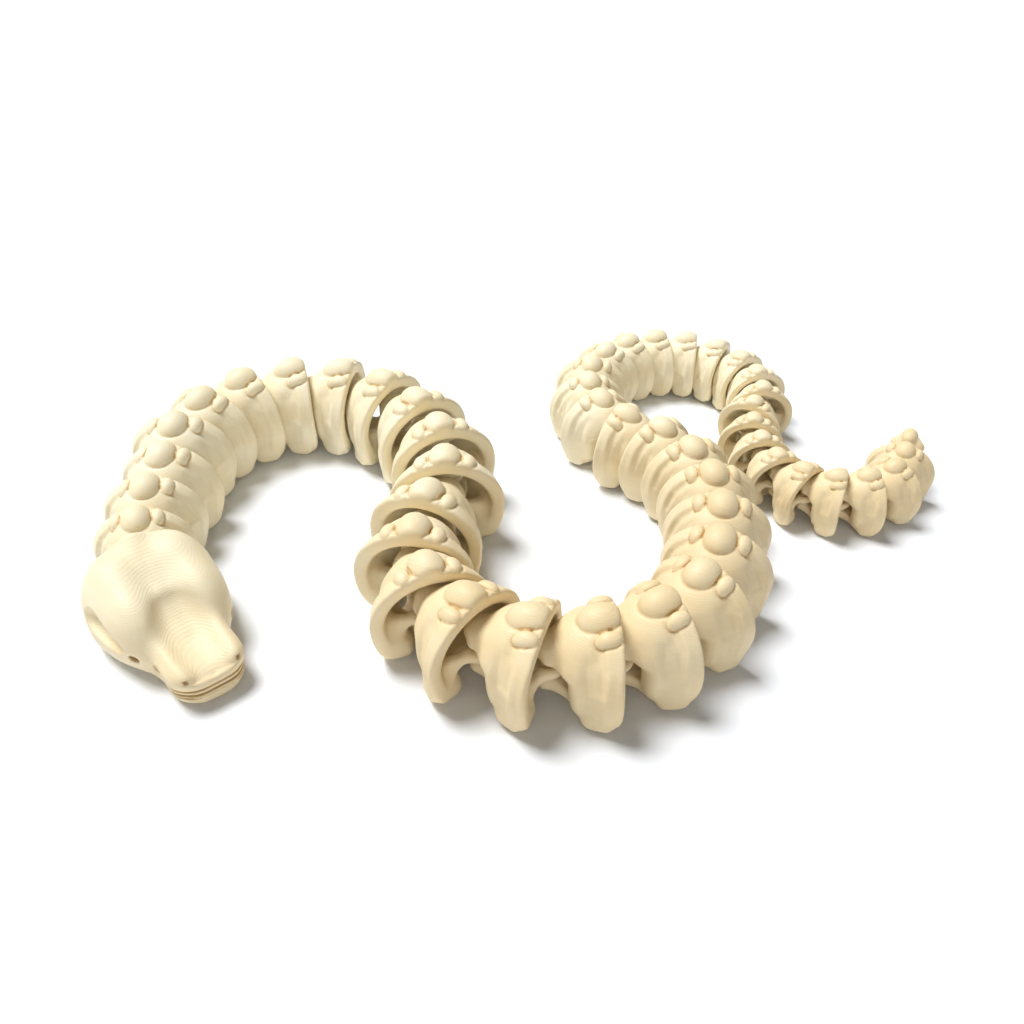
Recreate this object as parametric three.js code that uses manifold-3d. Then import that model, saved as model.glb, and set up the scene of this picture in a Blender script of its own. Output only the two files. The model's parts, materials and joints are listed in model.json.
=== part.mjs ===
// Jointed snake skeleton toy: a skull, forty-six vertebra links and a tail tip, chained by
// loops that each go round the pin of the next link. It lies on the floor in an S with a loop.
//
// Millimetres, +Z up, floor at z = 0. The origin is under the middle of the whole toy.
// A link's own frame: its pin stands on the Z axis and +X points to the skull.

import * as THREE from 'three';
import { mergeVertices } from 'three/addons/utils/BufferGeometryUtils.js';
import Module from 'manifold-3d';

const wasm = await Module();
wasm.setup();

// ---------------------------------------------------------------- driving dimensions

const LINK_COUNT = 46;
const JOINT_GAP = 0.4; // air between a pin and the eye around it

const PIN_REACH = 1.42; // from the pin's axis to its corners
const LOOP = { bottom: 7.7, height: 2.2, slope: 0.2, width: 1.6, root: { x: -6.6, out: 6.2, in: 4.4 } };

// Half sections, as fractions [of the half width, of the height], from the foot to the ridge.
const LINK_SECTION = [[0.62, 0], [0.98, 0.27], [0.93, 0.62], [0.34, 0.87], [0.2, 1]];
const HOLLOW_SECTION = [[0.46, 0], [1, 0.42], [0.62, 1]];
const SKULL_SECTION = [[0.6, 0], [0.82, 0.15], [0.97, 0.4], [1, 0.66], [0.7, 0.92], [0.28, 1]];

// A full-size link along X: an arch that flares to the tail, a beak over the pin and a bridge
// under it.
const ARCH_STATIONS = [
  { x: -10.6, wide: 10.5, low: 0, high: 19.2, wall: 1.7, roof: 4.0 },
  { x: -8.0, wide: 9.6, low: 0, high: 19.8, wall: 1.7, roof: 4.8 },
  { x: -3.2, wide: 4.8, low: 1.7, high: 16.0, wall: 0.9, roof: 3.2 },
];
// The front frame from the side: beak, pin and bridge in one, each corner as [x, z, half width].
const FRONT_FRAME = [
  [-4.9, 15.6, 1.3], [2.4, 13.3, 1.2], [2.4, 11.8, 1.6], [1.0, 11.6, 1.0], [1.0, 6.4, 1.0],
  [1.5, 3.9, 1.6], [-5.0, 1.3, 3.6], [-5.0, 5.2, 4.7], [-1.0, 6.2, 1.0], [-1.0, 11.8, 1.0],
  [-4.9, 13.6, 1.9],
];
const HOLLOW_STATIONS = [
  { x: -12, wide: 8.8, low: -1, high: 15.5 },
  { x: -8.2, wide: 8.0, low: -1, high: 15.3 },
  { x: -1.6, wide: 2.9, low: -1, high: 11.9 },
];

// The skull, with the neck pin at x = 0 and the snout at +X.
const SKULL_STATIONS = [
  { x: -0.8, wide: 9.0, low: 0, high: 17.2 },
  { x: 1.6, wide: 10.9, low: 0, high: 17.6 },
  { x: 5.5, wide: 12.6, low: 0, high: 16.8 },
  { x: 9.8, wide: 11.6, low: 0, high: 15.0 },
  { x: 14.3, wide: 8.2, low: 0, high: 12.4 },
  { x: 19.1, wide: 6.4, low: 0, high: 9.4 },
  { x: 24.4, wide: 5.8, low: 0, high: 7.1 },
  { x: 26.8, wide: 4.5, low: 0.3, high: 5.9 },
  { x: 27.7, wide: 3.2, low: 1.0, high: 4.7 },
];
const SKULL = {
  neck: 10.2, // how far a link's hollow is moved forward to lie in the skull
  hollow: 0.96, // and how much narrower it is there
  brow: { at: [7.2, 6.8, 11.4], radii: [7.2, 5.6, 5.4] },
  crown: { at: [12.8, 0, 18.4], radii: [10.3, 2.6, 4.6], tilt: 0.46 },
  eye: { at: [6.3, 12.2, 5.6], radii: [4.7, 2.2, 1.7] },
  nostril: { at: [25.6, 4.4, 5.0], radii: [1.2, 1.1, 0.9] },
};

// The last link is a closed cone with the same beak, pin and bridge.
const TIP_STATIONS = [
  { x: -10.4, wide: 3.0, low: 3.0, high: 14 },
  { x: -7.4, wide: 6.0, low: 0, high: 19.4 },
  { x: -4.6, wide: 5.0, low: 1.0, high: 17.2 },
];

// The size of each link: a slim neck, fullest a quarter of the way along, then down to the tail.
const TAPER = [
  { link: 1, scale: 0.87 },
  { link: 4, scale: 1 },
  { link: 8, scale: 1 },
  { link: 12, scale: 1.06 },
  { link: 22, scale: 0.95 },
  { link: 28, scale: 0.81 },
  { link: 34, scale: 0.72 },
  { link: 40, scale: 0.65 },
  { link: 47, scale: 0.65 },
];

// The lie of the body. Each stretch has a number of joints, the turn in degrees at each, positive
// to the left on the way to the tail, and how far apart its pins are pulled, at full size.
const SKULL_HEADING = -50.2;
const FIRST_HEADING = 102.7;
const COURSE = [
  { joints: 2, turn: -8.4, pull: 9.6 },
  { joints: 1, turn: 6.0, pull: 9.6 },
  { joints: 2, turn: -23.8, pull: 10.3 },
  { joints: 3, turn: -25.8, pull: 10.8 },
  { joints: 2, turn: -17.3, pull: 11.1 },
  { joints: 1, turn: -18.7, pull: 11.3 },
  { joints: 1, turn: -22.3, pull: 10.4 },
  { joints: 1, turn: 12.0, pull: 9.7 },
  { joints: 2, turn: 27.4, pull: 9.7 },
  { joints: 2, turn: 23.8, pull: 10.9 },
  { joints: 3, turn: 20.9, pull: 10.6 },
  { joints: 2, turn: 12.0, pull: 10.8 },
  { joints: 2, turn: 16.7, pull: 10.4 },
  { joints: 1, turn: 17.6, pull: 10.2 },
  { joints: 1, turn: -24.2, pull: 10.1 },
  { joints: 3, turn: -20.3, pull: 10.1 },
  { joints: 3, turn: -21.4, pull: 9.9 },
  { joints: 4, turn: -22.2, pull: 9.9 },
  { joints: 1, turn: -27.5, pull: 10.0 },
  { joints: 1, turn: 25.0, pull: 10.1 },
  { joints: 2, turn: 13.1, pull: 10.2 },
  { joints: 3, turn: 26.0, pull: 9.9 },
  { joints: 2, turn: 27.5, pull: 10.5 },
  { joints: 1, turn: 2.0, pull: 11.0 },
];

const BONE = { color: 0xf3e4bd, roughness: 0.55, metalness: 0 };

// ---------------------------------------------------------------- solids

function toSolid(geometry) {
  const bare = geometry.index ? geometry.clone() : geometry;
  bare.deleteAttribute('normal');
  bare.deleteAttribute('uv');
  const merged = mergeVertices(bare, 1e-4);
  return new wasm.Manifold(new wasm.Mesh({
    numProp: 3,
    vertProperties: new Float32Array(merged.attributes.position.array),
    triVerts: new Uint32Array(merged.index.array),
  }));
}

function toGeometry(solid) {
  const { numProp, vertProperties, triVerts } = solid.getMesh();
  const vertices = new Float32Array((vertProperties.length / numProp) * 3);
  for (let v = 0; v < vertices.length / 3; v += 1) {
    vertices.set(vertProperties.subarray(v * numProp, v * numProp + 3), v * 3);
  }
  const geometry = new THREE.BufferGeometry();
  geometry.setAttribute('position', new THREE.BufferAttribute(vertices, 3));
  geometry.setIndex(new THREE.BufferAttribute(new Uint32Array(triVerts), 1));
  geometry.computeVertexNormals();
  return geometry;
}

function extruded(points, options) {
  const shape = new THREE.Shape(points.map(([a, b]) => new THREE.Vector2(a, b)));
  return new THREE.ExtrudeGeometry(shape, { bevelEnabled: false, ...options });
}

// A body carried along X from station to station, where outlineAt gives the corners [y, z] of
// each. All outlines have the same number of corners.
function lofted(stations, outlineAt, size = 1) {
  const outlines = stations.map(outlineAt);
  const steps = stations.length - 1;
  const body = extruded(outlines[0], { depth: steps, steps });
  const place = body.attributes.position;
  for (let v = 0; v < place.count; v += 1) {
    const apart = outlines[0].map(([y, z]) => Math.hypot(y - place.getX(v), z - place.getY(v)));
    const corner = apart.indexOf(Math.min(...apart));
    const step = Math.round(place.getZ(v));
    place.setXYZ(v, stations[step].x, ...outlines[step][corner]);
  }
  return toSolid(body.scale(size, size, size));
}

// A half section's corners at a station, in millimetres.
function corners(section, { wide, low, high }) {
  return section.map(([y, z]) => [y * wide, low + z * (high - low)]);
}

function across(half) {
  return half.map(([y, z]) => [-y, z]).reverse();
}

// A closed outline from a half section, for every station.
function closed(section) {
  return (station) => {
    const half = corners(section, station);
    return [...half, ...across(half)];
  };
}

// The outline of an arch: up its outside, over to the other foot, and back along its inside.
function archOutline(station) {
  const { wide, low, high, wall, roof } = station;
  const outside = corners(LINK_SECTION, station);
  const inside = corners(HOLLOW_SECTION, { wide: wide - wall, low, high: high - roof });
  return [...outside, ...across(outside), ...across([...inside].reverse()), ...[...inside].reverse()];
}

function ellipsoid({ at, radii, tilt = 0 }, size = 1, side = 1, around = 6, rings = 4) {
  const ball = new THREE.SphereGeometry(1, around, rings);
  ball.rotateZ(Math.PI / 2);
  ball.scale(...radii);
  ball.rotateY(tilt);
  ball.translate(at[0], at[1] * side, at[2]);
  return toSolid(ball.scale(size, size, size));
}

// ---------------------------------------------------------------- the pieces

// Beak, pin and bridge: a side outline whose corners each have their own half width.
function frontFrame(size) {
  const frame = extruded(FRONT_FRAME, { depth: 1 });
  const place = frame.attributes.position;
  for (let v = 0; v < place.count; v += 1) {
    const [x, z] = [place.getX(v), place.getY(v)];
    const apart = FRONT_FRAME.map(([a, b]) => Math.hypot(a - x, b - z));
    const half = FRONT_FRAME[apart.indexOf(Math.min(...apart))][2];
    place.setXYZ(v, x, place.getZ(v) < 0.5 ? half : -half, z);
  }
  return toSolid(frame.scale(size, size, size));
}

// Two arms from the side walls that meet as an eye around the next link's pin. They rise towards
// the tail. The air around the pin is the same at every size, so that small links still move.
function loop(size, pull) {
  const { bottom, height, slope, width, root } = LOOP;
  const eye = (reach) => [[-pull + 0.4 * reach, 1.15 * reach], [-pull - reach, 0.7 * reach]];
  const outer = [[root.x, root.out], ...eye(PIN_REACH + JOINT_GAP + width)];
  const inner = [[root.x, root.in], ...eye(PIN_REACH + JOINT_GAP / size)];
  const mirror = (points) => points.map(([x, y]) => [x, -y]);
  const ring = extruded(
    [...outer, ...mirror(outer).reverse(), ...mirror(inner), ...inner.reverse()],
    { depth: height },
  );
  const rise = new THREE.Matrix4().set(1, 0, 0, 0, 0, 1, 0, 0, -slope, 0, 1, 0, 0, 0, 0, 1);
  ring.applyMatrix4(rise);
  ring.translate(0, 0, bottom - pull * slope);
  return toSolid(ring.scale(size, size, size));
}

function linkSolid(size, pull) {
  return lofted(ARCH_STATIONS, archOutline, size)
    .add(frontFrame(size))
    .add(loop(size, pull));
}

function tipSolid(size) {
  return lofted(TIP_STATIONS, closed(LINK_SECTION), size).add(frontFrame(size));
}

// The skull: domed brows, a sunken crown, eye hollows in the cheeks and nostrils in the snout,
// and at the neck the hollow and the eye that hold the first link, at that link's size.
function skullSolid(size) {
  const { neck, hollow, brow, crown, eye, nostril } = SKULL;
  let skull = lofted(SKULL_STATIONS, closed(SKULL_SECTION))
    .add(ellipsoid(brow, 1, 1, 10, 6))
    .add(ellipsoid(brow, 1, -1, 10, 6))
    .subtract(ellipsoid(crown, 1, 1, 10, 6))
    .subtract(lofted(HOLLOW_STATIONS, closed(HOLLOW_SECTION), size)
      .scale([1, hollow, 1])
      .translate([neck * size, 0, 0]));
  for (const side of [1, -1]) {
    skull = skull
      .subtract(ellipsoid(eye, 1, side, 8, 6))
      .subtract(ellipsoid(nostril, 1, side));
  }
  return skull.add(loop(size, neck).translate([neck * size, 0, 0]));
}

// ---------------------------------------------------------------- the toy

function scaleOf(link) {
  const next = Math.max(1, TAPER.findIndex((row) => link <= row.link));
  const [a, b] = [TAPER[next - 1], TAPER[next]];
  return THREE.MathUtils.mapLinear(link, a.link, b.link, a.scale, b.scale);
}

function pieceMesh(name, solid, x, y, heading) {
  const mesh = new THREE.Mesh(toGeometry(solid), new THREE.MeshStandardMaterial(BONE));
  mesh.name = name;
  mesh.position.set(x, y, 0);
  mesh.rotation.z = heading;
  return mesh;
}

// The joints in order, each with its turn and how far its link's two pins stand apart.
const joints = COURSE.flatMap(({ joints: count, turn, pull }) => Array(count).fill({ turn, pull }));
if (joints.length !== LINK_COUNT) throw new Error('the course needs one joint after each link');

const toy = new THREE.Group();
toy.add(pieceMesh('skull', skullSolid(scaleOf(1)), 0, 0, THREE.MathUtils.degToRad(SKULL_HEADING)));

let [x, y, heading] = [0, 0, THREE.MathUtils.degToRad(FIRST_HEADING)];
for (let link = 1; link <= LINK_COUNT; link += 1) {
  const size = scaleOf(link);
  const name = `link_${String(link).padStart(2, '0')}`;
  const { turn, pull } = joints[link - 1];
  toy.add(pieceMesh(name, linkSolid(size, pull), x, y, heading + Math.PI));
  x += pull * size * Math.cos(heading);
  y += pull * size * Math.sin(heading);
  heading += THREE.MathUtils.degToRad(turn);
}
toy.add(pieceMesh('tail_tip', tipSolid(scaleOf(LINK_COUNT + 1)), x, y, heading + Math.PI));

// Centre the toy over the origin.
const box = new THREE.Box3().setFromObject(toy, true);
const middle = box.getCenter(new THREE.Vector3());
for (const piece of toy.children) {
  piece.position.x -= middle.x;
  piece.position.y -= middle.y;
}

export default toy;
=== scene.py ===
"""A jointed snake skeleton toy of printed ivory plastic: a skull, forty-six vertebra links and a
tail tip, lying on a pale floor in an S with a loop.

Every piece is a smooth skin over a field: a number at each point of space that is below zero
inside the plastic and about the distance to it outside. Simple shapes are joined and cut as
fields with rounded seams, and the skin is found on a grid of small cells. A piece's own frame has
its pin on the Z axis, the skull's side at +X and the floor at z = 0, in millimetres at full size.
"""

import json
import logging
import math
import sys
from dataclasses import dataclass
from enum import Enum
from typing import Callable, Optional, Sequence, Union

import bpy
import numpy as np
from mathutils import Matrix, Vector


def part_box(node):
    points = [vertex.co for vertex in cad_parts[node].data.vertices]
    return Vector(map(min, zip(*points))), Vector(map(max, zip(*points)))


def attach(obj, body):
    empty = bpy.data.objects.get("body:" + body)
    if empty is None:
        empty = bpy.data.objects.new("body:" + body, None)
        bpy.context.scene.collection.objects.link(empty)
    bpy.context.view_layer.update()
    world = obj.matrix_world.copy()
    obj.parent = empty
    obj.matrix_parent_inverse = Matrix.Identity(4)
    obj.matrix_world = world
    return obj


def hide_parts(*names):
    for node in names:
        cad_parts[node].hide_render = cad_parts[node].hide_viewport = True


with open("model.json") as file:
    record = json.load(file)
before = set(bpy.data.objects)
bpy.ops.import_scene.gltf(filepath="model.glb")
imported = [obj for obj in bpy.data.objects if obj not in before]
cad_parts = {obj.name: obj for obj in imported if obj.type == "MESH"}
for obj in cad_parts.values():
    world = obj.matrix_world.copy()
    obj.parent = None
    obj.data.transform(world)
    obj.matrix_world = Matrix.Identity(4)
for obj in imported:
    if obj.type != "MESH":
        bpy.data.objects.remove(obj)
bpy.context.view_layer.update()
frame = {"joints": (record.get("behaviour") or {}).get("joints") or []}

log = logging.getLogger("snake_skeleton")

Array = np.ndarray
Point = tuple[float, float, float]
Field = Callable[[Array, Array, Array], Array]
Colour = tuple[float, float, float, float]
Paint = Union[Colour, bpy.types.NodeSocket]

MM = 0.001


# ---------------------------------------------------------------- fields


@dataclass(frozen=True)
class Profile:
    """A smooth curve through a few knots, flat beyond its ends."""

    knots: tuple[float, ...]
    values: tuple[float, ...]

    def at(self, x: Array) -> Array:
        """Reads the curve. Between two knots it is the cubic that has the knots' values and, at
        each knot, the slope of the line from the knot before to the knot after.

        Args:
            x: where to read it.

        Returns:
            The curve's values, in the shape of x.
        """
        k = np.asarray(self.knots)
        v = np.asarray(self.values)
        slopes = np.gradient(v, k)
        slopes[0] = slopes[-1] = 0.0
        x = np.clip(x, k[0], k[-1])
        i = np.clip(np.searchsorted(k, x, side="right") - 1, 0, len(k) - 2)
        h = k[i + 1] - k[i]
        t = (x - k[i]) / h
        return (
            (1 + 2 * t) * (1 - t) ** 2 * v[i]
            + t * (1 - t) ** 2 * h * slopes[i]
            + t * t * (3 - 2 * t) * v[i + 1]
            + t * t * (t - 1) * h * slopes[i + 1]
        )


def joined(a: Array, b: Array, seam: float) -> Array:
    """Both shapes as one: the smaller of the two fields, lowered near where they are equal by a
    quarter of seam, so that the seam is a fillet."""
    near = np.maximum(seam - np.abs(a - b), 0.0) / seam
    return np.minimum(a, b) - near * near * seam * 0.25


def seated(a: Array, b: Array, deep: float, half: float) -> Array:
    """Both shapes as one with a fine line engraved where they meet: the smaller of the two
    fields, raised there by deep times a bell of the fields' difference over half."""
    return np.minimum(a, b) + deep * np.exp(-(((a - b) / half) ** 2))


def both(a: Array, b: Array, seam: float) -> Array:
    """What lies in both shapes, with the edge between them rounded over."""
    return -joined(-a, -b, seam)


def cut(a: Array, b: Array, seam: float) -> Array:
    """The first shape without the second, with a rounded edge."""
    return -joined(-a, b, seam)


def smooth_step(low: float, high: float, x: Array) -> Array:
    """Zero below low, one above high, and an even S between them."""
    t = np.clip((x - low) / (high - low), 0.0, 1.0)
    return t * t * (3 - 2 * t)


def hump(x: Array, middle: float, reach: float) -> Array:
    """A bell of height one: exp(-((x - middle) / reach)^2)."""
    return np.exp(-(((x - middle) / reach) ** 2))


def ball(x: Array, v: Array, z: Array, at: Point, radii: Point, tilt: float = 0.0) -> Array:
    """An ellipsoid turned nose down by tilt about Y. With r the length of the point over the
    radii and g that over their squares, its distance is about r (r - 1) / g.

    Args:
        x, v, z: the points, v being how far out to the side.
        at: its centre.
        radii: its three half sizes.
        tilt: how far its +X end dips, in radians.

    Returns:
        The field at the points.
    """
    c, s = math.cos(tilt), math.sin(tilt)
    dx, dz = x - at[0], z - at[2]
    px, py, pz = c * dx - s * dz, v - at[1], s * dx + c * dz
    r = np.sqrt((px / radii[0]) ** 2 + (py / radii[1]) ** 2 + (pz / radii[2]) ** 2) + 1e-6
    g = np.sqrt(
        (px / radii[0] ** 2) ** 2 + (py / radii[1] ** 2) ** 2 + (pz / radii[2] ** 2) ** 2
    )
    return r * (r - 1) / (g + 1e-6)


def oval_tube(v: Array, z: Array, wide: Array, low: Array, middle: Array, high: Array,
              power: float = 2.0) -> Array:
    """A tube along X whose section is two half ovals that meet at its widest height. With
    r = (|v / wide|^n + |(z - middle) / h|^n)^(1/n), its distance is about (r - 1) over the
    steepness of r.

    Args:
        v, z: the points, seen along X.
        wide: half the width at the widest height.
        low, middle, high: the heights of the bottom, the widest place and the top.
        power: n, which is 2 for an ellipse and more for a boxier section.

    Returns:
        The field at the points.
    """
    h = np.where(z > middle, high - middle, middle - low)
    a, b = np.abs(v) / wide, np.abs(z - middle) / h
    r = (a**power + b**power) ** (1 / power) + 1e-6
    steep = np.sqrt((a ** (power - 1) / wide) ** 2 + (b ** (power - 1) / h) ** 2)
    steep = steep / r ** (power - 1)
    return (r - 1) / (steep + 1e-3)


def rod(x: Array, v: Array, z: Array, a: Point, b: Point, ra: float, rb: float) -> Array:
    """A round rod from a to b that goes from radius ra to rb: the distance to the line between
    them, less the radius there."""
    d = np.subtract(b, a)
    t = ((x - a[0]) * d[0] + (v - a[1]) * d[1] + (z - a[2]) * d[2]) / float(d @ d)
    t = np.clip(t, 0.0, 1.0)
    px, py, pz = x - a[0] - t * d[0], v - a[1] - t * d[1], z - a[2] - t * d[2]
    return np.sqrt(px * px + py * py + pz * pz) - (ra + (rb - ra) * t)


@dataclass(frozen=True)
class Lump:
    """An ellipsoid that a piece gains or loses, with the width of its seam."""

    at: Point
    radii: Point
    seam: float
    tilt: float = 0.0

    def shape(self, x: Array, v: Array, z: Array) -> Array:
        """The ellipsoid's field."""
        return ball(x, v, z, self.at, self.radii, self.tilt)


@dataclass(frozen=True)
class Bar:
    """A round rod that a piece gains or loses, with the width of its seam."""

    start: Point
    end: Point
    radii: tuple[float, float]
    seam: float

    def shape(self, x: Array, v: Array, z: Array) -> Array:
        """The rod's field."""
        return rod(x, v, z, self.start, self.end, *self.radii)


# ---------------------------------------------------------------- skins


@dataclass
class Skin:
    """The surface where a field is zero, as four-cornered faces."""

    points: Array
    quads: Array

    @classmethod
    def over(cls, shape: Field, low: Sequence[float], high: Sequence[float], cell: float) -> "Skin":
        """Lays a skin over a field on a grid of cubes. Each cube that the surface passes through
        gets one point, the mean of where the surface crosses its edges. Each grid edge that is
        crossed gets a face between the four cubes around it, turned to face outward.

        Args:
            shape: the field.
            low, high: opposite corners of the space to search.
            cell: the side of a cube.

        Returns:
            The skin, settled onto the surface.
        """
        low = np.asarray(low, float)
        count = np.ceil((np.asarray(high) - low) / cell).astype(int) + 1
        axes = [low[i] + cell * np.arange(count[i]) for i in range(3)]
        value = shape(*np.meshgrid(*axes, indexing="ij"))
        inside = value < 0
        cubes = tuple(count - 1)
        total = np.zeros(cubes + (3,))
        hits = np.zeros(cubes)
        crossings = []
        for a in range(3):
            b, c = (a + 1) % 3, (a + 2) % 3
            near = tuple(slice(0, -1) if k == a else slice(None) for k in range(3))
            far = tuple(slice(1, None) if k == a else slice(None) for k in range(3))
            crossed = inside[near] != inside[far]
            gap = np.where(crossed, value[near] - value[far], 1.0)
            along = np.where(crossed, value[near] / gap, 0.0)
            place = np.stack(np.meshgrid(*[np.arange(n) for n in crossed.shape], indexing="ij"), -1)
            place = place.astype(float)
            place[..., a] += along
            for db in (0, 1):
                for dc in (0, 1):
                    part = [slice(None)] * 3
                    part[b] = slice(db, db + cubes[b])
                    part[c] = slice(dc, dc + cubes[c])
                    here = crossed[tuple(part)]
                    total += np.where(here[..., None], place[tuple(part)], 0.0)
                    hits += here
            crossings.append((a, crossed))
        used = hits > 0
        index = np.full(cubes, -1)
        index[used] = np.arange(used.sum())
        points = low + cell * total[used] / hits[used][:, None]
        faces = []
        for a, crossed in crossings:
            b, c = (a + 1) % 3, (a + 2) % 3
            core = [slice(None)] * 3
            core[b] = slice(1, -1)
            core[c] = slice(1, -1)
            at = np.argwhere(crossed[tuple(core)])
            at[:, b] += 1
            at[:, c] += 1
            corners = []
            for db, dc in ((1, 1), (0, 1), (0, 0), (1, 0)):
                cube = at.copy()
                cube[:, b] -= db
                cube[:, c] -= dc
                corners.append(index[cube[:, 0], cube[:, 1], cube[:, 2]])
            quad = np.stack(corners, -1)
            outward = inside[at[:, 0], at[:, 1], at[:, 2]]
            faces.append(np.where(outward[:, None], quad, quad[:, ::-1]))
        skin = cls(points, np.concatenate(faces))
        skin.settle(shape, cell)
        return skin

    def settle(self, shape: Field, cell: float) -> None:
        """Evens the points out and puts them on the surface: each moves half way to the mean of
        its neighbours, then by minus the field over its slope, twice.

        Args:
            shape: the field.
            cell: the side of the grid's cubes, of which a point moves at most half at a time.
        """
        a = self.quads.ravel()
        b = np.roll(self.quads, -1, axis=1).ravel()
        start, end = np.concatenate([a, b]), np.concatenate([b, a])
        size = len(self.points)
        count = np.maximum(np.bincount(start, minlength=size), 1)[:, None]
        for soften in (0.5, 0.4, 0.0):
            if soften:
                mean = np.stack(
                    [np.bincount(start, self.points[end, k], size) for k in range(3)], -1
                )
                self.points += soften * (mean / count - self.points)
            here, slope = slope_of(shape, self.points, 0.1 * cell)
            step = here[:, None] * slope / (np.sum(slope * slope, -1)[:, None] + 1e-9)
            length = np.linalg.norm(step, axis=-1)[:, None] + 1e-9
            self.points -= step * np.minimum(1.0, 0.5 * cell / length)

    def shelter(self, shape: Field, reach: float) -> Array:
        """How shut in each point is, from 0 in the open to 1 in a crevice. A few steps out along
        the normal, it compares the field with the distance that has been walked.

        Args:
            shape: the field.
            reach: how far out to look.

        Returns:
            One number for each point.
        """
        _, slope = slope_of(shape, self.points, 0.05)
        out = slope / (np.linalg.norm(slope, axis=-1)[:, None] + 1e-9)
        closed = np.zeros(len(self.points))
        for share, weight in ((0.25, 0.4), (0.5, 0.3), (1.0, 0.3)):
            walk = reach * share
            there = shape(*(self.points + out * walk).T)
            closed += weight * np.clip(1 - there / walk, 0.0, 1.0)
        return np.clip(closed, 0.0, 1.0)


def slope_of(shape: Field, points: Array, reach: float) -> tuple[Array, Array]:
    """The field at the points, and how fast it grows along each axis, from the difference between
    a little ahead and a little behind."""
    slope = np.empty_like(points)
    for k in range(3):
        step = np.zeros(3)
        step[k] = reach
        slope[:, k] = (shape(*(points + step).T) - shape(*(points - step).T)) / (2 * reach)
    return shape(*points.T), slope


# ---------------------------------------------------------------- shading


class Signal:
    """A number that runs through a material's nodes, with the arithmetic of one."""

    def __init__(self, sheet: "Sheet", socket: bpy.types.NodeSocket) -> None:
        """Keeps the socket that carries the number and the sheet it is on."""
        self.sheet = sheet
        self.socket = socket

    def _math(self, operation: str, *values: Union["Signal", float]) -> "Signal":
        """Adds a Math node on these values and gives its result."""
        node = self.sheet.node("ShaderNodeMath", {"operation": operation}, dict(enumerate(values)))
        return Signal(self.sheet, node.outputs[0])

    def __add__(self, other: Union["Signal", float]) -> "Signal":
        """This plus other."""
        return self._math("ADD", self, other)

    def __radd__(self, other: float) -> "Signal":
        """Other plus this."""
        return self._math("ADD", other, self)

    def __sub__(self, other: Union["Signal", float]) -> "Signal":
        """This less other."""
        return self._math("SUBTRACT", self, other)

    def __mul__(self, other: Union["Signal", float]) -> "Signal":
        """This times other."""
        return self._math("MULTIPLY", self, other)

    def wave(self) -> "Signal":
        """The sine of this."""
        return self._math("SINE", self)

    def between(self, low: float, high: float) -> "Signal":
        """Zero below low, one above high, and an even S between them."""
        node = self.sheet.node(
            "ShaderNodeMapRange",
            {"interpolation_type": "SMOOTHSTEP"},
            {"Value": self, "From Min": low, "From Max": high},
        )
        return Signal(self.sheet, node.outputs[0])


@dataclass
class Sheet:
    """The nodes of one material."""

    material: bpy.types.Material

    @classmethod
    def named(cls, name: str) -> "Sheet":
        """A sheet on a new, empty material."""
        material = bpy.data.materials.new(name)
        material.use_nodes = True
        material.node_tree.nodes.clear()
        return cls(material)

    def node(self, kind: str, settings: Optional[dict] = None,
             inputs: Optional[dict] = None) -> bpy.types.Node:
        """Adds a node.

        Args:
            kind: its Blender type.
            settings: its properties, which are set first.
            inputs: its sockets by name or number, each with a value or something to link.

        Returns:
            The node.
        """
        made = self.material.node_tree.nodes.new(kind)
        for name, value in (settings or {}).items():
            setattr(made, name, value)
        for key, value in (inputs or {}).items():
            socket = made.inputs[key]
            if isinstance(value, Signal):
                self.material.node_tree.links.new(value.socket, socket)
            elif isinstance(value, bpy.types.NodeSocket):
                self.material.node_tree.links.new(value, socket)
            else:
                socket.default_value = value
        return made

    def noise(self, where: bpy.types.NodeSocket, scale: float, stretch: Point = (1, 1, 1),
              detail: float = 3.0) -> Signal:
        """Cloudy noise, stretched.

        Args:
            where: the coordinates, in metres.
            scale: how many clouds to a metre.
            stretch: what each axis is multiplied by before that.
            detail: how many finer layers of cloud it has.

        Returns:
            The noise, from 0 to 1 about 0.5.
        """
        mapped = self.node("ShaderNodeMapping", {"vector_type": "POINT"},
                           {"Vector": where, "Scale": stretch})
        cloud = self.node("ShaderNodeTexNoise", None,
                          {"Vector": mapped.outputs[0], "Scale": scale, "Detail": detail})
        return Signal(self, cloud.outputs[0])

    def mixed(self, share: Signal, a: Paint, b: Paint, blend: str = "MIX") -> bpy.types.NodeSocket:
        """Lays one colour over another.

        Args:
            share: how much of the upper colour shows, from 0 to 1.
            a, b: the lower and the upper colour, each a constant or a socket.
            blend: how the upper one is laid on, as a blend type of the Mix node.

        Returns:
            The socket with the mixed colour.
        """
        node = self.node("ShaderNodeMix", {"data_type": "RGBA", "blend_type": blend},
                         {0: share, 6: a, 7: b})
        return node.outputs[2]

    def axes(self, where: bpy.types.NodeSocket) -> tuple[Signal, Signal, Signal]:
        """The three coordinates, each by itself."""
        split = self.node("ShaderNodeSeparateXYZ", None, {0: where})
        x, y, z = (Signal(self, socket) for socket in split.outputs)
        return x, y, z


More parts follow.
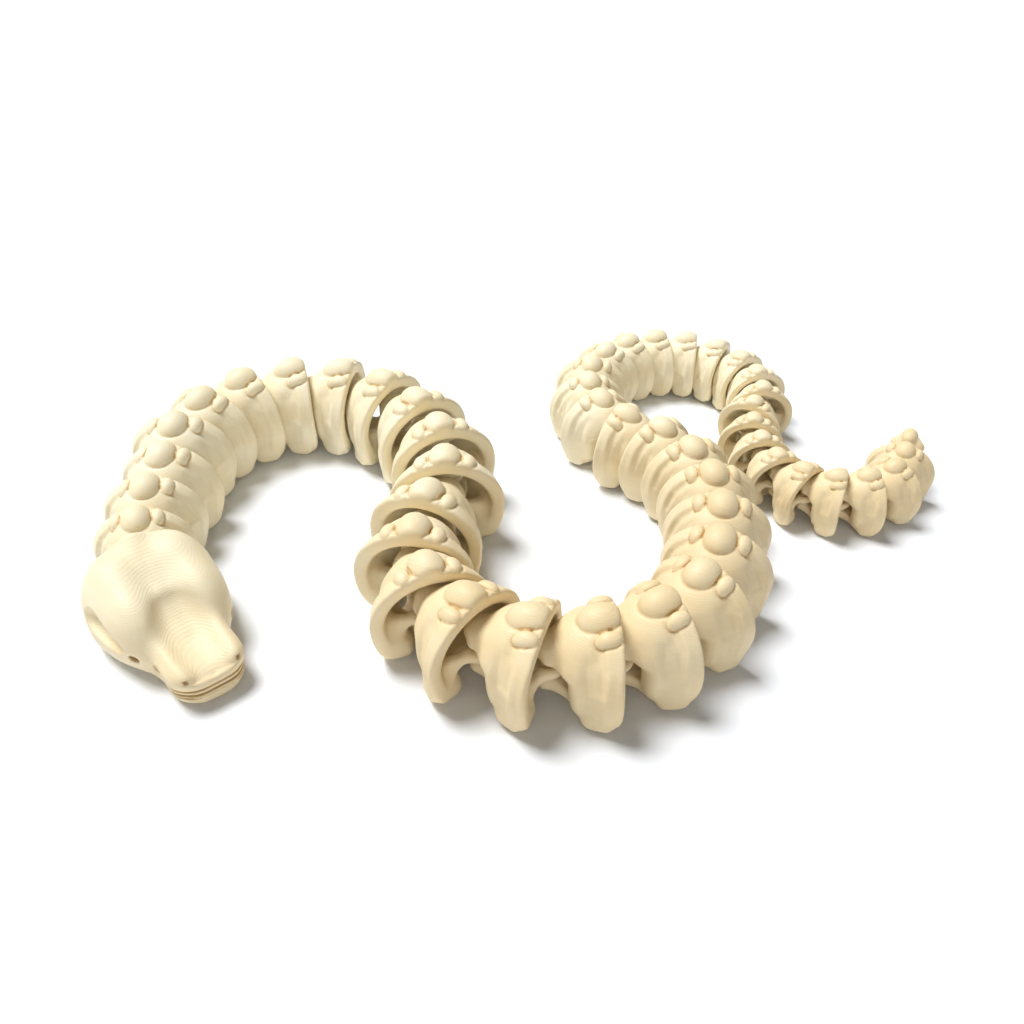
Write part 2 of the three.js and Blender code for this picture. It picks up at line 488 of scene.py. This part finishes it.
@dataclass(frozen=True)
class PrintedBone:
    """Matt ivory plastic laid down in thin level layers, in ivory and pale blotches. Painted shade
    makes it more amber where it is shut in, darker in the troughs of the waves and the grain, and a
    shade more tan toward the front and the tail; the layers show as fine lines and broad faint
    waves."""

    name: str = "printed_bone"
    ivory: Colour = (0.920, 0.805, 0.550, 1.0)
    pale: Colour = (0.950, 0.865, 0.640, 1.0)
    # painted shade: the amber laid into crevices
    painted_shade_amber: Colour = (0.660, 0.460, 0.210, 1.0)
    # painted shade for the troughs of the relief
    painted_trough_shade: Colour = (0.800, 0.740, 0.620, 1.0)
    # painted shade: the tan and the span of 0.6 x - y over which it grows, darkening the front and
    # the tail
    painted_shade_tan: Colour = (0.895, 0.820, 0.715, 1.0)
    painted_shade_from: float = -25 * MM
    painted_shade_to: float = 50 * MM
    layer: float = 0.28 * MM
    bump_strength: float = 0.55
    bump_depth: float = 0.09 * MM
    roughness: float = 0.50
    shine: float = 0.32

    def colour(self, sheet: Sheet, where: bpy.types.NodeSocket, shut: Signal, waves: Signal,
               grain: Signal) -> bpy.types.NodeSocket:
        """Mixes the colour: ivory and pale in blotches, a painted amber shade where the surface is
        shut in, a painted darker shade in the troughs of the waves and the grain, and a painted tan
        shade that grows with 0.6 x - y.

        Args:
            sheet: the material's nodes.
            where: the coordinates, in metres.
            shut: how shut in the surface is, which sets the painted amber shade.
            waves, grain: the broad and the fine unevenness.

        Returns:
            The socket with the colour.
        """
        blotches = sheet.noise(where, 75.0, (1, 1, 1.6))
        plain = sheet.mixed(blotches.between(0.35, 0.68), self.ivory, self.pale)
        # painted shade: amber laid over wherever the surface is shut in
        tinted = sheet.mixed(shut.between(0.22, 0.85) * 0.8, plain, self.painted_shade_amber)
        # painted shade: the troughs of the waves and the grain are darkened
        trough = waves.between(0.62, 0.40) * 0.07 + grain.between(0.6, 0.4) * 0.04
        shaded = sheet.mixed(trough, tinted, self.painted_trough_shade, "MULTIPLY")
        x, y, _ = sheet.axes(where)
        # painted shade: a tan multiplied in as 0.6 x - y grows, darkening the front and the tail
        lean = x * 0.6 - y
        return sheet.mixed(lean.between(self.painted_shade_from, self.painted_shade_to), shaded, self.painted_shade_tan, "MULTIPLY")

    def layers(self, sheet: Sheet, where: bpy.types.NodeSocket) -> Signal:
        """The fine lines: the sine of the height over the layer, which wanders a little."""
        wander = sheet.noise(where, 260.0, (1, 1, 0.4), 2.0)
        height = sheet.axes(where)[2]
        level = height + (wander - 0.5) * (0.35 * self.layer)
        return (level * (2 * math.pi / self.layer)).wave()

    def made(self) -> bpy.types.Material:
        """Builds the material: its colour, its relief and the plastic that has both.

        Returns:
            The finished material.
        """
        sheet = Sheet.named(self.name)
        where = sheet.node("ShaderNodeTexCoord").outputs["Object"]
        # the shelter attribute, how shut in each point is, sets the painted amber shade and a
        # little roughness
        shelter = sheet.node("ShaderNodeAttribute", {"attribute_name": "shelter"})
        shut = Signal(sheet, shelter.outputs["Fac"])
        waves = sheet.noise(where, 1.0, (90.0, 90.0, 1250.0))
        grain = sheet.noise(where, 5200.0, detail=2.0)
        relief = self.layers(sheet, where) * 0.17 + waves * 0.7 + grain * 0.25
        bump = sheet.node(
            "ShaderNodeBump", None,
            {"Strength": self.bump_strength, "Distance": self.bump_depth, "Height": relief},
        )
        plastic = sheet.node(
            "ShaderNodeBsdfPrincipled", None,
            {"Base Color": self.colour(sheet, where, shut, waves, grain),
             "Roughness": self.roughness + (grain - 0.5) * 0.10 + shut * 0.08,
             "Normal": bump.outputs[0],
             "Specular IOR Level": self.shine},
        )
        sheet.node("ShaderNodeOutputMaterial", None, {"Surface": plastic.outputs[0]})
        return sheet.material


@dataclass(frozen=True)
class PaleFloor:
    """The finish of a plain pale studio floor, with a trace of cloudiness."""

    name: str = "pale_floor"
    colour: Colour = (0.905, 0.925, 0.955, 1.0)
    cloudy: Colour = (0.890, 0.912, 0.945, 1.0)

    def made(self) -> bpy.types.Material:
        """Builds the material."""
        sheet = Sheet.named(self.name)
        where = sheet.node("ShaderNodeTexCoord").outputs["Object"]
        cloud = sheet.noise(where, 9.0, detail=2.0)
        colour = sheet.mixed(cloud, self.colour, self.cloudy)
        paint = sheet.node("ShaderNodeBsdfPrincipled", None,
                           {"Base Color": colour, "Roughness": 0.9, "Specular IOR Level": 0.1})
        sheet.node("ShaderNodeOutputMaterial", None, {"Surface": paint.outputs[0]})
        return sheet.material


# ---------------------------------------------------------------- the pieces


class Fineness(Enum):
    """How fine a piece's skin is, as the side of a grid cube in millimetres."""

    LINK = 0.34
    SKULL = 0.30


@dataclass(frozen=True)
class Seat:
    """Where a piece lies: its pin's place in millimetres and the way its +X side faces."""

    x: float
    y: float
    heading: float

    def placed(self, points: Array, size: float) -> Array:
        """Points of the piece's own frame at that size, turned and moved into the toy's frame, in
        metres."""
        c, s = math.cos(self.heading), math.sin(self.heading)
        p = points * size
        return np.stack([self.x + c * p[:, 0] - s * p[:, 1],
                         self.y + s * p[:, 0] + c * p[:, 1], p[:, 2]], -1) * MM


@dataclass
class Piece:
    """What all the pieces share: a name, a seat and a size, and how they are built."""

    name: str
    seat: Seat
    size: float = 1.0
    reach: float = 2.4

    def shape(self, x: Array, y: Array, z: Array) -> Array:
        """The piece's field."""
        raise NotImplementedError

    def space(self) -> tuple[Point, Point]:
        """Opposite corners of the space that the piece lies in."""
        raise NotImplementedError

    def cell(self) -> float:
        """The side of a grid cube in the piece's own frame. Small pieces get somewhat finer cubes,
        as the square root of their size."""
        return Fineness.LINK.value / math.sqrt(self.size)

    def build(self) -> bpy.types.Object:
        """Makes the piece's object and hangs it on the frame in its node's place.

        Returns:
            The object, with the mesh in place and the object at the origin.
        """
        low, high = self.space()
        skin = Skin.over(self.shape, low, high, self.cell())
        # how shut in each point is, which the material turns into painted amber shade
        shut = skin.shelter(self.shape, self.reach)
        mesh = bpy.data.meshes.new(self.name + "_skin")
        placed = self.seat.placed(skin.points, self.size)
        mesh.from_pydata(placed, [], skin.quads)
        mesh.polygons.foreach_set("use_smooth", np.ones(len(skin.quads), bool))
        mesh.attributes.new("shelter", "FLOAT", "POINT").data.foreach_set(
            "value", shut.astype(np.float32))
        mesh.update()
        made = bpy.data.objects.new(self.name + "_print", mesh)
        bpy.context.scene.collection.objects.link(made)
        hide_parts(self.name)
        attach(made, self.name)
        return made

    def dress(self, made: bpy.types.Object, finish: bpy.types.Material) -> None:
        """Gives the object its finish."""
        made.data.materials.append(finish)


@dataclass(frozen=True)
class Prong:
    """A flat tongue along X with a rounded tip, one of the two that hold a pin between them."""

    tip: float
    root: float
    rounding: float
    wide: Profile
    high: Profile
    low: Profile

    def shape(self, x: Array, v: Array, z: Array) -> Array:
        """A slightly boxy oval tube, rounded off at the tip and ended inside the body."""
        top, under = self.high.at(x), self.low.at(x)
        tube = oval_tube(v, z, self.wide.at(x), under, 0.5 * (top + under), top, 2.2)
        return both(both(tube, x - self.tip, self.rounding), self.root - x, 0.5)


@dataclass(frozen=True)
class FrontFrame:
    """Beak, pin and bridge, which every piece but the skull has at its front."""

    pin: float = 1.22
    pin_low: float = 4.6
    pin_high: float = 12.6
    fillet: float = 1.4
    beak: Prong = Prong(
        tip=2.4, root=-6.5, rounding=1.2,
        wide=Profile((-6.0, -3.6, -1.5, 0.5, 2.4), (5.2, 4.2, 3.1, 2.3, 1.6)),
        high=Profile((-6.0, -3.2, 0.0, 2.4), (16.6, 15.4, 14.0, 13.1)),
        low=Profile((-6.0, -3.6, -2.0, 0.0, 2.4), (11.6, 10.9, 10.5, 10.7, 11.5)),
    )
    bridge: Prong = Prong(
        tip=1.5, root=-6.8, rounding=1.4,
        wide=Profile((-6.4, -5.0, -3.0, -1.0, 1.5), (7.0, 4.9, 3.1, 1.9, 1.5)),
        high=Profile((-6.4, -5.0, -1.0, 1.5), (5.4, 5.4, 6.3, 6.2)),
        low=Profile((-6.4, -5.0, -2.0, 1.5), (0.6, 1.1, 2.4, 3.9)),
    )

    def shape(self, x: Array, v: Array, z: Array) -> Array:
        """The two prongs, joined by the upright pin with wide fillets.

        Args:
            x, v, z: the points.

        Returns:
            The field at the points.
        """
        ends = np.maximum(z - self.pin_high, self.pin_low - z)
        pin = np.maximum(np.hypot(x, v) - self.pin, ends)
        above = joined(self.beak.shape(x, v, z), pin, self.fillet)
        return joined(above, self.bridge.shape(x, v, z), self.fillet)


@dataclass(frozen=True)
class Eye:
    """The loop at the back: half a ring behind the next pin, held by two webs that spread from
    its ends down the inside of the side walls to the feet."""

    pull: float
    size: float
    pin: float = 1.42
    air: float = 0.4
    thick: float = 0.82
    height: float = 8.5
    rise: float = 0.1
    gap: float = 0.80
    squash: float = 0.8
    seam: float = 0.9
    root: tuple[float, float] = (-7.3, 7.6)
    top: Profile = Profile((0.0, 0.35, 1.0), (9.4, 8.8, 8.3))
    under: Profile = Profile((0.0, 0.3, 0.65, 1.0), (7.5, 6.1, 2.2, 0.3))
    half: Profile = Profile((0.0, 0.5, 1.0), (0.95, 1.2, 2.2))

    def shape(self, x: Array, v: Array, z: Array) -> Array:
        """The ring is the distance to a half circle. The web is an upright plate on the line from
        the ring's end to its root in the wall. Along the line its top and bottom edges and its
        thickness follow curves, and across it is an oval.

        Args:
            x, v, z: the points.

        Returns:
            The field at the points.
        """
        middle = self.pin + self.air / self.size + self.gap
        behind = x + self.pull
        flat = np.where(behind > 0, np.hypot(behind, v - middle),
                        np.abs(np.hypot(behind, v) - middle))
        lift = self.squash * (z - self.height + self.rise * behind)
        ring = np.hypot(flat, lift) - self.thick
        dx, dv = self.root[0] + self.pull, self.root[1] - middle
        length = math.hypot(dx, dv)
        along = (behind * dx + (v - middle) * dv) / length
        aside = (behind * dv - (v - middle) * dx) / length
        share = np.clip(along / length, 0.0, 1.0)
        top, under = self.top.at(share), self.under.at(share)
        web = oval_tube(aside, z, self.half.at(share), under, 0.5 * (top + under), top, 2.6)
        web = both(web, np.maximum(-along, along - length - 0.4), 0.6)
        return joined(ring, web, self.seam)


@dataclass
class VertebraLink(Piece):
    """A horseshoe vertebra: a ribbed arch on two feet, open below and behind, with a large knob
    on its crown, a long small knob on each shoulder, and the front frame and the eye."""

    pull: float = 10.0
    wide: Profile = Profile((-10.7, -8.0, -5.6, -3.2, -1.9, -0.4),
                            (10.1, 9.35, 7.8, 6.8, 6.0, 4.4))
    high: Profile = Profile((-10.7, -8.0, -5.6, -3.2, -1.9, -0.4),
                            (18.2, 18.0, 17.3, 16.2, 15.0, 14.1))
    inner_wide: Profile = Profile((-12.0, -10.6, -8.2, -1.6), (8.4, 8.15, 7.4, 3.0))
    inner_high: Profile = Profile((-12.0, -8.2, -1.6), (15.5, 15.2, 11.9))
    inner_middle: float = 8.0
    front: Profile = Profile((-0.5, 0.8, 3.0, 5.5, 8.0, 9.9, 10.8, 11.8),
                             (-5.3, -4.8, -3.5, -2.9, -2.7, -2.2, -0.9, 1.5))
    back: Profile = Profile((-0.5, 0.6, 2.0, 12.0, 18.5), (-10.2, -10.5, -10.65, -10.65, -11.15))
    sole: Profile = Profile((-5.4, -4.0, -3.0), (0.0, 0.4, 1.0))
    band: float = 0.34
    flutes: tuple[Point, ...] = ((-9.0, 0.5, -0.16), (-5.4, 1.1, -0.38), (-3.8, 0.6, 0.14))
    groove: Bar = Bar((-6.7, 5.1, 16.6), (-7.0, 7.8, 13.8), (0.95, 0.75), 0.3)
    groove_end: Bar = Bar((-7.0, 7.8, 13.8), (-7.2, 10.0, 7.0), (0.75, 0.1), 0.8)
    crown_knob: Lump = Lump((-8.4, 0.0, 16.1), (4.2, 3.3, 3.6), 0.2)
    shoulder_knob: Lump = Lump((-9.1, 3.9, 16.1), (2.5, 1.7, 1.85), 0.2)
    knob_line: float = 0.17
    foot: Lump = Lump((-7.8, 6.9, 1.7), (2.6, 1.35, 1.7), 1.2)
    inner_foot: Lump = Lump((-8.1, 5.2, 2.8), (2.6, 2.1, 3.0), 2.0)
    hollow_seam: float = 1.6
    front_seam: float = 1.2
    frame_seam: float = 1.2
    rim_seam: float = 0.7
    eye_seam: float = 1.8
    sole_seam: float = 2.3

    def flank(self, x: Array, v: Array, z: Array) -> Array:
        """The outside of the arch. Its width has a raised band along the rim with a shallow flute
        in it, a wide dip and a low ridge ahead of the band, each a bell or an S across, and fine
        flutes. A deeper groove runs from the shoulder knob down the front of the band and fades.

        Args:
            x, v, z: the points.

        Returns:
            The field at the points.
        """
        fade = smooth_step(0.6, 3.2, z) * (1 - smooth_step(13.0, 16.5, z))
        lean = x + 0.03 * (z - 8.0)
        ribs = self.band * (1 - smooth_step(-7.7, -7.0, lean))
        for middle, reach, height in self.flutes:
            ribs = ribs + height * hump(lean, middle, reach)
        ribs = ribs + 0.05 * np.cos(5.6 * lean) * hump(lean, -6.4, 2.0)
        wide = self.wide.at(x) + fade * ribs
        body = 0.8 * oval_tube(v, z, wide, -3.0, 8.5, self.high.at(x))
        groove = joined(self.groove.shape(x, v, z), self.groove_end.shape(x, v, z),
                        self.groove.seam)
        return cut(body, groove, self.groove_end.seam)

    def hollow(self, x: Array, v: Array, z: Array) -> Array:
        """The inside of the arch: an oval above its widest height, and below it a straighter
        taper to the gap between the feet."""
        wide, high = self.inner_wide.at(x), self.inner_high.at(x)
        upper = oval_tube(v, z, wide, -1.0, self.inner_middle, high, 2.0)
        lower = oval_tube(v, z, wide, -1.0, self.inner_middle, high, 1.7)
        return 0.8 * np.where(z > self.inner_middle, upper, lower)

    def shape(self, x: Array, y: Array, z: Array) -> Array:
        """The link's field. The flank gets its knobs with tight seams, is hollowed by a narrower
        tube, trimmed front and back to curves of height, and stood on flat feet; then come the
        front frame and the eye.

        Args:
            x, y, z: the points.

        Returns:
            The field at the points.
        """
        v = np.abs(y)
        body = self.flank(x, v, z)
        for knob in (self.crown_knob, self.shoulder_knob):
            body = seated(body, knob.shape(x, v, z), self.knob_line, knob.seam)
        body = joined(body, self.foot.shape(x, v, z), self.foot.seam)
        body = cut(body, self.hollow(x, v, z), self.hollow_seam)
        body = joined(body, self.inner_foot.shape(x, v, z), self.inner_foot.seam)
        body = both(body, 0.9 * (x - self.front.at(z)), self.front_seam)
        body = joined(body, FrontFrame().shape(x, v, z), self.frame_seam)
        body = both(body, 0.95 * (self.back.at(z) - x), self.rim_seam)
        body = joined(body, Eye(self.pull, self.size).shape(x, v, z), self.eye_seam)
        return both(body, self.sole.at(x) - z, self.sole_seam)

    def space(self) -> tuple[Point, Point]:
        """From behind the eye to ahead of the beak."""
        return (-self.pull - 4.4, -11.2, -0.9), (3.3, 11.2, 20.6)


@dataclass
class TailTip(Piece):
    """The last link: a closed cone that ends in a blunt point, with the same front frame."""

    wide: Profile = Profile((-10.6, -7.6, -4.8, -2.6), (2.4, 5.4, 4.7, 2.6))
    high: Profile = Profile((-10.6, -7.6, -4.8, -2.6), (14.0, 18.2, 17.0, 15.2))
    ends: tuple[float, float] = (-10.5, -4.2)
    knob: Lump = Lump((-7.2, 0.0, 15.8), (3.9, 2.7, 3.1), 0.22)

    def shape(self, x: Array, y: Array, z: Array) -> Array:
        """An oval body, high and narrow, rounded at the back, with a crown knob.

        Args:
            x, y, z: the points.

        Returns:
            The field at the points.
        """
        v = np.abs(y)
        body = 0.8 * oval_tube(v, z, self.wide.at(x), -2.0, 8.0, self.high.at(x))
        body = both(body, self.ends[0] - x, 2.4)
        body = both(body, x - self.ends[1], 1.2)
        body = seated(body, self.knob.shape(x, v, z), 0.2, self.knob.seam)
        body = joined(body, FrontFrame().shape(x, v, z), 0.9)
        return both(body, -z, 1.2)

    def space(self) -> tuple[Point, Point]:
        """From behind the cone to ahead of the beak."""
        return (-11.6, -7.4, -0.9), (3.3, 7.4, 20.6)


@dataclass(frozen=True)
class Mouth:
    """The closed mouth: a deep line round the snout between two faint ones, and a low line along
    the jaw. Each line is how far it lies below the first, how deep it goes and half its width."""

    height: float = 3.0
    climb: float = 0.045
    tip: float = 27.6
    corner: float = 20.5
    lines: tuple[Point, ...] = ((0.0, 0.75, 0.20), (-0.95, 0.45, 0.12), (0.75, 0.35, 0.10))
    jaw_height: float = 1.7
    jaw_deep: float = 0.45
    jaw_half: float = 0.15
    jaw_ends: tuple[float, float] = (1.0, 22.0)
    seam: float = 0.25

    def opened(self, body: Array, x: Array, z: Array) -> Array:
        """The head with the lines cut in. A line is the slab |z - height| < half its width, kept
        to where the head's own field is above minus the depth.

        Args:
            body: the head's field.
            x, z: the points.

        Returns:
            The field with the lines in it.
        """
        gape = self.height - self.climb * (self.tip - x)
        ahead = self.corner - x
        for drop, deep, half in self.lines:
            line = np.abs(z - gape + drop) - half
            groove = np.maximum(np.maximum(line, ahead - drop), -body - deep)
            body = cut(body, groove, self.seam)
        start, end = self.jaw_ends
        jaw = np.maximum(np.abs(z - self.jaw_height) - self.jaw_half,
                         np.maximum(x - end, start - x))
        return cut(body, np.maximum(jaw, -body - self.jaw_deep), self.seam)


@dataclass
class Skull(Piece):
    """The skull: two lobed domes over the cheeks with a low keel between them, a long flat snout
    with a raised edge on each side, sunken temples, pits, nostrils and a closed mouth."""

    neck: float = 10.2
    neck_size: float = 0.87
    neck_air: float = 1.09
    neck_front: float = -1.4
    wide: Profile = Profile((-0.8, 1.6, 5.5, 9.8, 14.3, 19.1, 24.4, 27.0),
                            (10.3, 11.2, 11.6, 10.5, 8.1, 6.6, 6.2, 5.1))
    high: Profile = Profile((-0.8, 1.6, 5.5, 9.8, 14.3, 19.1, 24.4, 27.7),
                            (15.9, 15.5, 13.8, 11.8, 9.8, 8.2, 7.1, 6.0))
    belly: float = -3.2
    cheek: float = 5.2
    nose: float = 27.6
    nose_seam: float = 3.0
    rear: float = -0.8
    floor_seam: float = 1.8
    keel: Bar = Bar((-0.5, 0.0, 13.9), (17.5, 0.0, 7.9), (3.0, 1.0), 2.0)
    lobe: Lump = Lump((3.8, 4.9, 9.4), (6.0, 4.8, 6.2), 2.6)
    dome: Lump = Lump((9.4, 5.6, 7.2), (8.2, 4.9, 6.9), 2.0, tilt=0.2)
    snout_edge: Bar = Bar((13.5, 4.5, 7.7), (25.8, 4.0, 5.7), (1.4, 1.3), 1.8)
    snout_dip: Lump = Lump((21.0, 0.0, 9.9), (9.0, 4.2, 3.0), 2.2, tilt=0.2)
    temple: Bar = Bar((6.4, 11.9, 10.4), (12.2, 9.9, 8.2), (2.5, 1.9), 0.6)
    temple_squash: float = 1.2
    cheek_pit: Lump = Lump((15.0, 7.7, 5.5), (1.3, 1.2, 0.9), 0.7)
    lip_pit: Lump = Lump((19.4, 6.5, 4.6), (1.0, 0.9, 0.7), 0.4)
    nostril: Bar = Bar((24.6, 5.0, 6.3), (26.5, 4.4, 5.9), (0.15, 0.28), 0.4)
    reach: float = 3.0

    def cell(self) -> float:
        """The skull's grid is finer than the links'."""
        return Fineness.SKULL.value

    def shape(self, x: Array, y: Array, z: Array) -> Array:
        """The skull's field: an oval body with keel, domes and snout edges joined on, then the
        snout's dip, the temples, the pits, the nostrils and the mouth cut out, and the neck.

        Args:
            x, y, z: the points.

        Returns:
            The field at the points.
        """
        v = np.abs(y)
        wide, high = self.wide.at(x), self.high.at(x)
        body = 0.85 * oval_tube(v, z, wide, self.belly, self.cheek, high, 2.4)
        for swelling in (self.keel, self.lobe, self.dome, self.snout_edge):
            body = joined(body, swelling.shape(x, v, z), swelling.seam)
        body = both(body, x - self.nose, self.nose_seam)
        body = cut(body, self.snout_dip.shape(x, v, z), self.snout_dip.seam)
        body = cut(body, self.temple.shape(x, v, self.temple_squash * z), self.temple.seam)
        for hole in (self.cheek_pit, self.lip_pit, self.nostril):
            body = cut(body, hole.shape(x, v, z), hole.seam)
        body = Mouth().opened(body, x, z)
        return both(self.necked(body, x, v, z), -z, self.floor_seam)

    def necked(self, body: Array, x: Array, v: Array, z: Array) -> Array:
        """Hollows the back of the head like a link, a little wider so that the first link clears
        it, ends it and adds the neck's eye. Lengths in the neck are neck_size times a link's.

        Args:
            body: the head's field.
            x, v, z: the points.

        Returns:
            The field with the neck.
        """
        k = self.neck_size
        u, w, h = x / k - self.neck, v / k, z / k
        hollow = VertebraLink("neck", self.seat, k).hollow(u, w / self.neck_air, h)
        body = cut(body, k * np.maximum(hollow, u - self.neck_front), 0.9)
        body = both(body, self.rear - x, 1.0)
        return joined(body, k * Eye(self.neck, k).shape(u, w, h), 0.7)

    def space(self) -> tuple[Point, Point]:
        """From behind the neck eye to ahead of the snout."""
        return (-4.6, -13.4, -0.9), (28.6, 13.4, 19.0)


# ---------------------------------------------------------------- the toy


@dataclass
class SnakeSkeleton:
    """The whole toy. The links take their places from the frame's joints."""

    links: int = 46
    full_height: float = 19.8
    skull_heading: float = math.radians(-50.2)
    tip_heading: float = math.radians(244.0)
    finish: PrintedBone = PrintedBone()

    def pins(self) -> dict[str, Array]:
        """Where each piece's pin stands, by the piece's name, in millimetres."""
        return {j["child"]: np.asarray(j["pos_m"][:2]) / MM for j in frame["joints"]}

    def pieces(self) -> list[Piece]:
        """Works out every piece's seat and size. A link looks from the next pin to its own.

        Returns:
            The skull, the links in order and the tail tip.
        """
        pins = self.pins()
        names = [f"link_{i:02d}" for i in range(1, self.links + 1)] + ["tail_tip"]
        first = pins[names[0]]
        made: list[Piece] = [Skull("skull", Seat(first[0], first[1], self.skull_heading))]
        for name, following in zip(names, names[1:]):
            here, there = pins[name], pins[following]
            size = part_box(name)[1].z / MM / self.full_height
            way = here - there
            seat = Seat(here[0], here[1], math.atan2(way[1], way[0]))
            pull = float(np.hypot(*way)) / size
            made.append(VertebraLink(name, seat, size, pull=pull))
        last = pins["tail_tip"]
        made.append(TailTip("tail_tip", Seat(last[0], last[1], self.tip_heading), made[-1].size))
        return made

    def build(self) -> None:
        """Builds and dresses every piece."""
        plastic = self.finish.made()
        for piece in self.pieces():
            made = piece.build()
            piece.dress(made, plastic)
            log.info("%s: %d faces", piece.name, len(made.data.polygons))


# ---------------------------------------------------------------- the studio


@dataclass
class Studio:
    """A wide pale floor, a soft high key light from the back left and an even white surround."""

    floor_half: float = 3.0
    key_from: Point = (-0.38, 0.26, 0.90)
    key_power: float = 3.8
    key_spread: float = math.radians(28)
    fill_from: Point = (0.1, -0.95, 0.2)
    fill_power: float = 0.9
    fill_spread: float = math.radians(70)
    surround: float = 0.13
    surround_colour: Colour = (1.0, 0.995, 0.985, 1.0)

    def lamp(self, name: str, way: Point, power: float, spread: float) -> None:
        """A lamp far off in that direction.

        Args:
            name: what it is called.
            way: the direction it stands in.
            power: how bright it is.
            spread: how wide it looks, as an angle.
        """
        data = bpy.data.lights.new(name, "SUN")
        data.energy = power
        data.angle = spread
        lamp = bpy.data.objects.new(name, data)
        lamp.rotation_euler = Vector(way).to_track_quat("Z", "Y").to_euler()
        bpy.context.scene.collection.objects.link(lamp)

    def build(self) -> None:
        """Lays the floor, hangs the lamps and sets the surround."""
        h = self.floor_half
        mesh = bpy.data.meshes.new("floor_sheet")
        mesh.from_pydata([(-h, -h, 0), (h, -h, 0), (h, h, 0), (-h, h, 0)], [], [(0, 1, 2, 3)])
        mesh.materials.append(PaleFloor().made())
        floor = bpy.data.objects.new("floor", mesh)
        bpy.context.scene.collection.objects.link(floor)
        self.lamp("key", self.key_from, self.key_power, self.key_spread)
        self.lamp("fill", self.fill_from, self.fill_power, self.fill_spread)
        world = bpy.data.worlds.new("surround")
        world.use_nodes = True
        back = world.node_tree.nodes["Background"]
        back.inputs[0].default_value = self.surround_colour
        back.inputs[1].default_value = self.surround
        bpy.context.scene.world = world
        bpy.context.scene.view_settings.view_transform = "Standard"


@dataclass
class Viewpoint:
    """The camera: ahead of the skull and above it, looking down and away. Near and far, the ends
    of what it sees, are in metres."""

    from_first_pin: tuple[float, float] = (64.582, -125.42)
    height: float = 119.164
    dip: float = math.radians(37.776)
    lens: float = 33.69
    sensor: float = 36.0
    near: float = 0.01
    far: float = 20.0

    def build(self, first_pin: Array) -> None:
        """Makes the camera.

        Args:
            first_pin: where the first link's pin stands, in millimetres.
        """
        data = bpy.data.cameras.new("camera")
        data.lens = self.lens
        data.sensor_width = self.sensor
        data.clip_start = self.near
        data.clip_end = self.far
        camera = bpy.data.objects.new("camera", data)
        x, y = first_pin + np.asarray(self.from_first_pin)
        camera.matrix_world = Matrix.Translation(
            Vector((x, y, self.height)) * MM
        ) @ Matrix.Rotation(math.pi / 2 - self.dip, 4, "X")
        bpy.context.scene.collection.objects.link(camera)
        bpy.context.scene.camera = camera


def main() -> None:
    """Builds the camera, the studio and the toy."""
    logging.basicConfig(level=logging.INFO, format="%(name)s %(message)s", stream=sys.stdout)
    toy = SnakeSkeleton()
    Viewpoint().build(toy.pins()["link_01"])
    Studio().build()
    toy.build()


if __name__ == "__main__":
    main()
